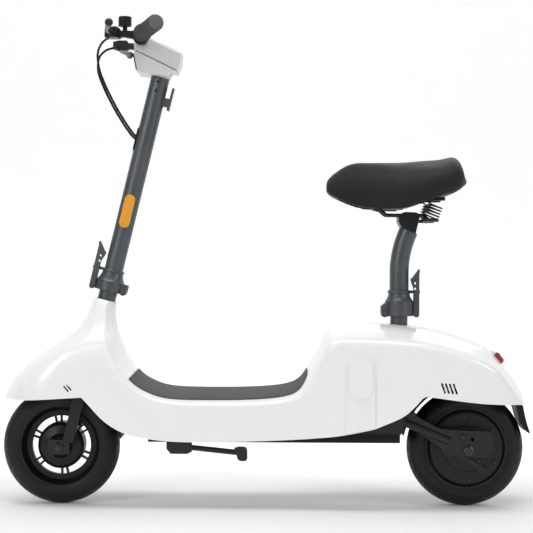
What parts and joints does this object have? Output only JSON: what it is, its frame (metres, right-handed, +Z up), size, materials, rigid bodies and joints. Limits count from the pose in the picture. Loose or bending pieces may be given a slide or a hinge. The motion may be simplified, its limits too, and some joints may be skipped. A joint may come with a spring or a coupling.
{
  "type": "seated electric scooter",
  "caption": "Seated electric scooter with a smooth shell over a low deck, a folding stem, a sprung saddle on a folding post, a hub motor and a drop-down stand.",
  "frame": {"origin": "on the ground, under the middle of the scooter", "axes": "-X forward, -Y the rider's left, +Z up"},
  "size_m": [1.1505, 0.5528, 1.054],
  "materials": {
    "shell_white": "gloss white",
    "frame_black": "satin black",
    "plastic_black": "fine grain",
    "mat_grey": "fine grain",
    "tube_grey": "satin metallic grey",
    "hub_black": "satin black coat",
    "frame_alloy": "satin black coat",
    "rim_black": "black coat",
    "tyre": "moulded tread",
    "steel": "plain",
    "spring_black": "gloss black",
    "grip_rubber": "ribbed",
    "reflector": "amber prism",
    "tail_red": "clear red",
    "lens_dark": "smoked",
    "head_light_grey": "satin light grey",
    "saddle_black": "soft grain",
    "cable_black": "smooth",
    "battery": "shrink wrap",
    "cast_aluminium": "cast"
  },
  "bodies": {
    "frame": {"main_frame": "frame_alloy", "front_shell": "shell_white", "rear_shell": "shell_white", "floor_mat": "mat_grey", "belly_tray": "plastic_black", "battery_pack": "battery", "controller": "cast_aluminium", "front_splash_guard": "plastic_black", "rear_splash_guard": "plastic_black", "rear_mudflap": "plastic_black", "tail_light": "tail_red", "side_strip_left": "shell_white", "side_strip_right": "shell_white", "charge_socket": "plastic_black", "kickstand_bracket": "frame_black", "seat_base_cup": "tube_grey", "rear_axle": "steel", "motor_stator": "steel", "rear_brake_plate": "hub_black"},
    "charge_door": {"charge_door": "shell_white"},
    "kickstand": {"kickstand_leg": "frame_black"},
    "rear_brake_arm": {"rear_brake_arm": "frame_black"},
    "rear_wheel": {"rear_tyre": "tyre", "motor_hub": "hub_black", "motor_cover": "hub_black"},
    "steering": {"fork": "frame_black", "front_axle": "steel", "stem_base_cup": "tube_grey", "front_brake_plate": "hub_black"},
    "front_wheel": {"front_tyre": "tyre", "front_rim": "rim_black"},
    "stem_latch": {"stem_latch_lever": "tube_grey"},
    "stem": {"stem_tube": "tube_grey", "stem_collar": "tube_grey", "stem_reflectors": "reflector", "bag_hook": "tube_grey", "cable_grommet": "cable_black", "head_housing": "head_light_grey", "head_cover": "head_light_grey", "headlight_lens": "lens_dark", "handlebar": "frame_black", "grip_left": "grip_rubber", "brake_perch_left": "frame_black", "brake_perch_right": "frame_black", "bell_base": "plastic_black", "brake_cable_left": "cable_black", "brake_cable_right": "cable_black"},
    "throttle": {"throttle_grip": "grip_rubber"},
    "left_brake_lever": {"brake_lever_left": "frame_black"},
    "right_brake_lever": {"brake_lever_right": "frame_black"},
    "bell_cap": {"bell_cap": "plastic_black"},
    "power_button": {"power_button": "plastic_black"},
    "seat_post": {"seat_post": "tube_grey", "seat_collar": "tube_grey", "seat_clamp": "frame_black", "saddle_rails": "frame_black", "saddle_springs": "spring_black"},
    "seat_latch": {"seat_latch_lever": "tube_grey"},
    "saddle": {"saddle_base": "plastic_black", "saddle_cushion": "saddle_black"}
  },
  "joints": [
    {"name": "steering", "type": "hinge", "parent": "frame", "child": "steering", "pos_m": [-0.37671, 0, 0.35351], "axis": [0.2311, 0, 0.9729], "range_deg": [-22, 22]},
    {"name": "front_wheel_spin", "type": "hinge", "parent": "steering", "child": "front_wheel", "pos_m": [-0.4506, 0, 0.1275], "axis": [0, 1, 0], "continuous": true},
    {"name": "rear_wheel_spin", "type": "hinge", "parent": "frame", "child": "rear_wheel", "pos_m": [0.4342, 0, 0.1275], "axis": [0, 1, 0], "continuous": true},
    {"name": "stem_fold", "type": "hinge", "parent": "steering", "child": "stem", "pos_m": [-0.31784, 0, 0.46287], "axis": [0, 1, 0], "range_deg": [0, 45]},
    {"name": "stem_latch", "type": "hinge", "parent": "steering", "child": "stem_latch", "pos_m": [-0.38641, 0, 0.47709], "axis": [0, -1, 0], "range_deg": [0, 110]},
    {"name": "seat_fold", "type": "hinge", "parent": "frame", "child": "seat_post", "pos_m": [0.2566, 0, 0.419], "axis": [0, 1, 0], "range_deg": [-90, 0]},
    {"name": "seat_latch", "type": "hinge", "parent": "frame", "child": "seat_latch", "pos_m": [0.3266, 0, 0.417], "axis": [0, 1, 0], "range_deg": [0, 100]},
    {"name": "kickstand", "type": "hinge", "parent": "frame", "child": "kickstand", "pos_m": [-0.176, -0.0885, 0.1337], "axis": [0, 1, 0], "range_deg": [0, 95]},
    {"name": "charge_door", "type": "hinge", "parent": "frame", "child": "charge_door", "pos_m": [0.1985, -0.1322, 0.3315], "axis": [-1, 0, 0], "range_deg": [0, 100]},
    {"name": "saddle_flex", "type": "hinge", "parent": "seat_post", "child": "saddle", "pos_m": [0.24, 0, 0.6505], "axis": [0, 1, 0], "range_deg": [0, 5], "stiffness_Nm_per_rad": 550, "springref_deg": -0.11, "deforming": ["saddle_springs"]},
    {"name": "left_brake_lever", "type": "hinge", "parent": "stem", "child": "left_brake_lever", "pos_m": [-0.331, -0.112, 1.0175], "axis": [0, 0, 1], "range_deg": [0, 20], "stiffness_Nm_per_rad": 2},
    {"name": "right_brake_lever", "type": "hinge", "parent": "stem", "child": "right_brake_lever", "pos_m": [-0.331, 0.112, 1.0175], "axis": [0, 0, -1], "range_deg": [0, 20], "stiffness_Nm_per_rad": 2},
    {"name": "rear_brake_arm", "type": "hinge", "parent": "frame", "child": "rear_brake_arm", "pos_m": [0.412, -0.0525, 0.116], "axis": [0, 1, 0], "range_deg": [0, 15]},
    {"name": "throttle", "type": "hinge", "parent": "stem", "child": "throttle", "pos_m": [-0.252, 0.1988, 1.0123], "axis": [0.2974, 0.9543, 0.0294], "range_deg": [0, 60], "stiffness_Nm_per_rad": 0.3},
    {"name": "bell_twist", "type": "hinge", "parent": "stem", "child": "bell_cap", "pos_m": [-0.309, -0.092, 1.047], "axis": [0, 0, 1], "range_deg": [0, 45], "stiffness_Nm_per_rad": 0.05},
    {"name": "power_button", "type": "slide", "parent": "stem", "child": "power_button", "axis": [-0.4226, 0, -0.9063], "range_m": [0, 0.0015], "stiffness_N_per_m": 1200}
  ],
  "couplings": [
    {"joint": "rear_brake_arm", "follows": "left_brake_lever", "ratio": 0.75}
  ]
}
